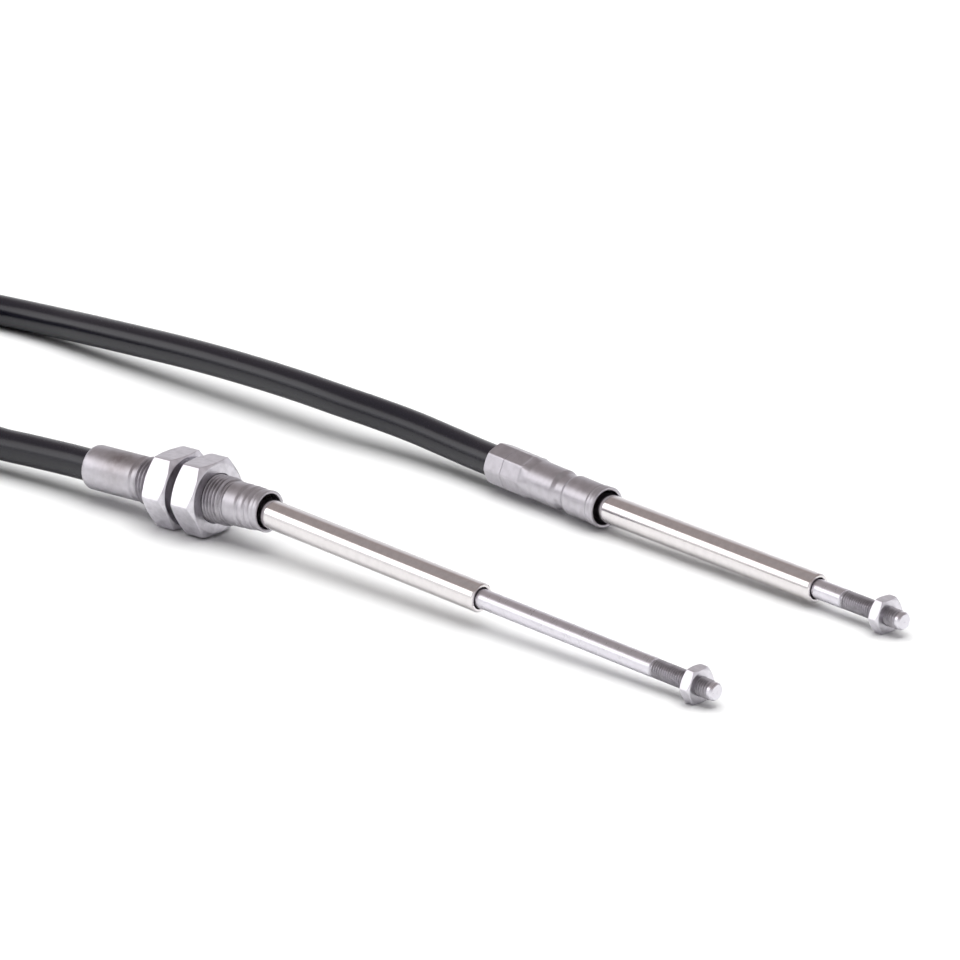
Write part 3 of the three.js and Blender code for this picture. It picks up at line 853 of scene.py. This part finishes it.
class CABLE_OT_conduit(bpy.types.Operator):
    """Lay the black conduit from the clamp hub round its coil to the bulkhead hub"""

    bl_idname = "cable.conduit"
    bl_label = "Conduit"

    def execute(self, context):
        sizes = context.scene.cable_conduit
        pivot = swivel_centre("bulkhead")
        origin = Vector((pivot.x, pivot.y, 0))
        height_on_floor = 5.4

        def laid(*places):
            return [origin + Vector((place + (height_on_floor,))[:3]) * MM for place in places]

        clamp_run = laid(
            (-11.5, 95.3, 9.6), (-24.1, 95.3, 10.5), (-37.6, 94.5, 11.4), (-55.1, 93.2, 12.3),
            (-76.7, 93.2, 12.6), (-101, 93.4, 12.2), (-125.2, 93.3, 11.4), (-149.6, 93.1, 10),
            (-174.5, 93, 8.3), (-194.7, 93, 6.7), (-222.1, 90.1, 5.6), (-242.9, 85.6), (-264.8, 78.3),
            (-283, 70.6))
        bulkhead_run = laid(
            (-236.5, -33.2, 26.4), (-222.1, -28.2, 25), (-196.6, -21.2, 20.8), (-175.8, -16.7, 16.8),
            (-154.9, -13, 13.1), (-134.1, -10.1, 10.3), (-113.3, -7.7, 9.2), (-100, -5.9, 9.5))
        points = [
            socket_point("clamp"), *straight_points("clamp"), *clamp_run,
            *coil_points(sizes, origin),
            *bulkhead_run, *reversed(straight_points("bulkhead")), socket_point("bulkhead"),
        ]
        curve = bpy.data.curves.new("conduit", "CURVE")
        curve.dimensions = "3D"
        curve.resolution_u = 10
        curve.bevel_depth = sizes.diameter / 2
        curve.bevel_resolution = 8
        curve.use_fill_caps = True
        spline = curve.splines.new("BEZIER")
        spline.bezier_points.add(len(points) - 1)
        for knot, point in zip(spline.bezier_points, points):
            knot.co = point
            knot.handle_left_type = "AUTO"
            knot.handle_right_type = "AUTO"
        curve.materials.append(jacket_plastic())
        conduit = bpy.data.objects.new("conduit", curve)
        context.scene.collection.objects.link(conduit)
        finish_piece(conduit, "cable", "conduit_jacket",
                     "conduit_clamp_run", "conduit_coil", "conduit_bulkhead_run")
        return {"FINISHED"}


class CABLE_OT_hubs(bpy.types.Operator):
    """Make the threaded bulkhead hub and the grooved and crimped clamp hub"""

    bl_idname = "cable.hubs"
    bl_label = "Hubs"

    def execute(self, context):
        sizes = context.scene.cable_hubs
        hub_thread = thread(sizes.thread_diameter / 2, sizes.thread_depth, sizes.thread_pitch,
                            -THREAD_END_FROM_MOUTH, -THREAD_FROM_MOUTH, lead=0.8 * MM, sides=84)
        hub = make_piece("bulkhead_hub_body", hub_place("bulkhead", sizes.swivel_depth),
                         [turned(bulkhead_hub_outline(sizes)), hub_thread],
                         [machined_steel(), thread_steel()])
        finish_piece(hub, "cable", "machined_steel", "bulkhead_hub")
        clamp = make_piece("clamp_hub_body", hub_place("clamp", sizes.swivel_depth),
                           [turned(clamp_hub_outline(sizes), sides=144, limit=crimp_limit(sizes))],
                           [machined_steel()])
        finish_piece(clamp, "cable", "machined_steel", "clamp_hub")
        return {"FINISHED"}


class CABLE_OT_hub_nuts(bpy.types.Operator):
    """Make the two jam nuts on the bulkhead hub"""

    bl_idname = "cable.hub_nuts"
    bl_label = "Hub nuts"

    def execute(self, context):
        sizes = context.scene.cable_nuts
        hubs = context.scene.cable_hubs
        front = -sizes.hub_from_mouth - sizes.hub_thickness / 2
        rear = front - sizes.hub_thickness - sizes.hub_gap
        bore = hubs.thread_diameter / 2 - hubs.thread_depth / 2
        for name, x in (("front", front), ("rear", rear)):
            place = hub_place("bulkhead", hubs.swivel_depth + x)
            nut = make_piece(f"hub_nut_{name}", place,
                             [hex_nut(sizes.hub_flats, sizes.hub_thickness, bore)], [nut_steel()])
            add_bevel(nut, 0.14 * MM)
            finish_piece(nut, "cable", "nut_steel", f"bulkhead_nut_{name}")
        return {"FINISHED"}


class CABLE_OT_seals(bpy.types.Operator):
    """Make the dark seal ring in the mouth of each hub"""

    bl_idname = "cable.seals"
    bl_label = "Seal rings"

    def execute(self, context):
        hubs = context.scene.cable_hubs
        outside = hubs.mouth_bore / 2 - 0.3 * MM
        inside = context.scene.cable_rods.tube_diameter / 2 + 0.3 * MM
        outline = [
            (-1.4 * MM, outside - 0.17 * MM, 0.15 * MM), (0, outside, 1.0 * MM),
            (1.4 * MM, outside - 0.17 * MM, 0.2 * MM), (1.4 * MM, inside + 0.25 * MM, 0.15 * MM),
            (0, inside, 1.0 * MM), (-1.4 * MM, inside + 0.25 * MM, 0.15 * MM),
        ]
        for end in ("bulkhead", "clamp"):
            seal = make_piece(f"{end}_seal_ring", seal_place(end), [turned(outline, closed=True)],
                              [seal_rubber()])
            finish_piece(seal, f"{end}_seal", "seal_rubber", f"{end}_seal")
        return {"FINISHED"}


class CABLE_OT_tubes(bpy.types.Operator):
    """Make the polished support tube of each end"""

    bl_idname = "cable.tubes"
    bl_label = "Support tubes"

    def execute(self, context):
        sizes = context.scene.cable_rods
        outside = sizes.tube_diameter / 2
        bore = sizes.tube_bore / 2
        reach = sizes.tube_reach
        outline = [
            (-4 * MM, outside, 0.2 * MM), (reach - 0.45 * MM, outside, 0.15 * MM),
            (reach, outside - 0.45 * MM, 0.12 * MM), (reach, bore + 0.2 * MM, 0.08 * MM),
            (reach - 0.25 * MM, bore), (-4 * MM, bore, 0.1 * MM),
        ]
        for end in ("bulkhead", "clamp"):
            tube = make_piece(f"{end}_support_tube", tube_place(end), [turned(outline, closed=True)],
                              [tube_steel()])
            finish_piece(tube, f"{end}_tube", "tube_steel", f"{end}_tube")
        return {"FINISHED"}


class CABLE_OT_rods(bpy.types.Operator):
    """Make the rod of each end, with its threaded tip and its jam nut"""

    bl_idname = "cable.rods"
    bl_label = "Rods"

    def execute(self, context):
        sizes = context.scene.cable_rods
        nuts = context.scene.cable_nuts
        shank = sizes.rod_diameter / 2
        crest = sizes.thread_diameter / 2
        root = crest - sizes.thread_depth
        for end in ("bulkhead", "clamp"):
            start = sizes.tube_reach + getattr(sizes, f"{end}_shown")
            tip = start + sizes.thread_length
            outline = [
                (start - sizes.plain_length, 0), (start - sizes.plain_length, shank, 0.3 * MM),
                (start, shank, 0.15 * MM), (start + 0.35 * MM, root, 0.1 * MM),
                (tip - 1.9 * MM, root, 0.1 * MM), (tip - 1.7 * MM, crest - 0.15 * MM, 0.1 * MM),
                (tip - 0.7 * MM, crest - 0.15 * MM, 0.2 * MM),
                (tip, crest - 0.7 * MM, 0.15 * MM), (tip, 0.45 * MM, 0.1 * MM), (tip - 0.3 * MM, 0),
            ]
            rod_thread = thread(crest, sizes.thread_depth, sizes.thread_pitch,
                                start + 0.2 * MM, tip - 1.75 * MM, lead=0.5 * MM, sides=48)
            rod = make_piece(f"{end}_sliding_rod", tube_place(end),
                             [turned(outline, sides=72), rod_thread], [rod_steel(), thread_steel()])
            finish_piece(rod, f"{end}_rod", "rod_steel", f"{end}_rod")
            place = tube_place(end) @ Matrix.Translation((tip - nuts.rod_from_tip, 0, 0))
            bore = crest - sizes.thread_depth / 2
            nut = make_piece(f"{end}_rod_jam_nut", place,
                             [hex_nut(nuts.rod_flats, nuts.rod_thickness, bore)], [nut_steel()])
            add_bevel(nut, 0.1 * MM)
            finish_piece(nut, f"{end}_rod", "nut_steel", f"{end}_rod_nut")
        return {"FINISHED"}


class CABLE_OT_ties(bpy.types.Operator):
    bl_idname = "cable.ties"
    bl_label = "Coil ties"

    def execute(self, context):
        sizes = context.scene.cable_conduit
        gap = 0.3 * MM
        half = sizes.diameter / 2 + gap
        low = sizes.tie_thickness
        high = 2 * sizes.layer_height + sizes.diameter + low + 2 * gap
        pivot = swivel_centre("bulkhead")
        centre = Vector((pivot.x, pivot.y, 0)) + Vector((*COIL_CENTRE, 0))
        for index, angle in enumerate(TIE_ANGLES):
            turn = Matrix.Rotation(math.radians(angle), 4, "Z")
            place = Matrix.Translation(centre) @ turn @ Matrix.Translation((sizes.coil_diameter / 2, 0, 0))
            band = tie_band(half, low, high, sizes.tie_width, sizes.tie_thickness)
            tie = make_piece(f"coil_tie_band_{index + 1}", place, [band, *tie_head(half, high, sizes)],
                             [tie_nylon()] * 3)
            add_bevel(tie, 0.25 * MM)
            finish_piece(tie, "cable", "tie_nylon", f"coil_tie_{index + 1}")
        socket_point("clamp")
        return {"FINISHED"}


class CABLE_OT_stage(bpy.types.Operator):
    """Set the white floor, the studio lights and the camera"""

    bl_idname = "cable.stage"
    bl_label = "Stage"

    def execute(self, context):
        scene = context.scene
        mesh = bpy.data.meshes.new("floor")
        reach = 1.6
        mesh.from_pydata([(-reach, -reach, 0), (reach, -reach, 0), (reach, reach, 0), (-reach, reach, 0)],
                         [], [(0, 1, 2, 3)])
        floor = bpy.data.objects.new("floor", mesh)
        scene.collection.objects.link(floor)
        material, _, shader = new_material("Floor", scene.cable_finishes.floor, 0.0, 0.9)
        shader.inputs["Specular IOR Level"].default_value = 0.0
        mesh.materials.append(material)

        world = bpy.data.worlds.new("Studio")
        world.use_nodes = True
        tree = world.node_tree
        place = tree.nodes.new("ShaderNodeTexCoord")
        split = tree.nodes.new("ShaderNodeSeparateXYZ")
        ramp = tree.nodes.new("ShaderNodeValToRGB")
        tree.links.new(place.outputs["Generated"], split.inputs[0])
        tree.links.new(split.outputs["Z"], ramp.inputs["Fac"])
        tree.links.new(ramp.outputs["Color"], tree.nodes["Background"].inputs["Color"])
        elements = ramp.color_ramp.elements
        while len(elements) < len(STUDIO_COLOURS):
            elements.new(0.5)
        for element, (share, colour) in zip(elements, STUDIO_COLOURS):
            element.position = share
            element.color = (*colour, 1.0)
        tree.nodes["Background"].inputs["Strength"].default_value = STUDIO_STRENGTH
        scene.world = world

        def add_light(name, towards, distance, width, height, power, glossy):
            data = bpy.data.lights.new(name, "AREA")
            data.shape = "RECTANGLE"
            data.size = width
            data.size_y = height
            data.energy = power
            light = bpy.data.objects.new(name, data)
            direction = Vector(towards).normalized()
            light.location = direction * distance
            light.rotation_euler = direction.to_track_quat("Z", "Y").to_euler()
            light.visible_glossy = glossy
            light.visible_diffuse = not glossy
            scene.collection.objects.link(light)

        add_light("front left softbox", (-0.643, -0.58, 0.43), distance=1.6,
                  width=1.3, height=0.75, power=4.2, glossy=True)
        add_light("overhead softbox", (-0.05, 0.12, 1.0), distance=2.0,
                  width=2.4, height=2.4, power=50.0, glossy=False)
        add_light("ceiling", (0.0, 0.0, 1.0), distance=2.0,
                  width=6.0, height=6.0, power=68.0, glossy=False)
        world.cycles_visibility.diffuse = False

        data = bpy.data.cameras.new("camera")
        data.lens = CAMERA_LENS
        data.sensor_width = 36.0
        data.clip_end = 20.0
        camera = bpy.data.objects.new("camera", data)
        level = math.cos(CAMERA_DROP)
        forward = Vector((level * math.cos(CAMERA_HEADING), level * math.sin(CAMERA_HEADING),
                          -math.sin(CAMERA_DROP)))
        camera.location = Vector(CAMERA_TARGET) * MM - forward * CAMERA_DISTANCE
        camera.rotation_euler = forward.to_track_quat("-Z", "Y").to_euler()
        scene.collection.objects.link(camera)
        scene.camera = camera
        scene.view_settings.view_transform = "Standard"
        return {"FINISHED"}


class CABLE_PT_panel(bpy.types.Panel):
    """Lists the pieces and their sizes"""

    bl_idname = "CABLE_PT_panel"
    bl_label = "Control cable"
    bl_space_type = "VIEW_3D"
    bl_region_type = "UI"
    bl_category = "Control cable"

    def draw(self, context):
        for step in STEPS:
            self.layout.operator(step.bl_idname)
        for name, group in GROUPS.items():
            box = self.layout.box()
            for label in group.__annotations__:
                box.prop(getattr(context.scene, name), label)


GROUPS = {
    "cable_conduit": CONDUIT_PG_sizes,
    "cable_hubs": HUB_PG_sizes,
    "cable_nuts": NUT_PG_sizes,
    "cable_rods": ROD_PG_sizes,
    "cable_angles": POSE_PG_angles,
    "cable_finishes": FINISH_PG_colours,
}
STEPS = (CABLE_OT_conduit, CABLE_OT_hubs, CABLE_OT_hub_nuts, CABLE_OT_seals, CABLE_OT_tubes, CABLE_OT_rods,
         CABLE_OT_ties, CABLE_OT_stage)


def register():
    for group in GROUPS.values():
        bpy.utils.register_class(group)
    for name, group in GROUPS.items():
        setattr(bpy.types.Scene, name, PointerProperty(type=group))
    for step in STEPS:
        bpy.utils.register_class(step)
    bpy.utils.register_class(CABLE_PT_panel)


def unregister():
    bpy.utils.unregister_class(CABLE_PT_panel)
    for step in reversed(STEPS):
        bpy.utils.unregister_class(step)
    for name in GROUPS:
        delattr(bpy.types.Scene, name)
    for group in reversed(GROUPS.values()):
        bpy.utils.unregister_class(group)


def main():
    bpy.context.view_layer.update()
    register()
    bpy.ops.cable.conduit()
    bpy.ops.cable.hubs()
    bpy.ops.cable.hub_nuts()
    bpy.ops.cable.seals()
    bpy.ops.cable.tubes()
    bpy.ops.cable.rods()
    bpy.ops.cable.ties()
    bpy.ops.cable.stage()
    bpy.context.view_layer.update()


if __name__ == "__main__":
    main()
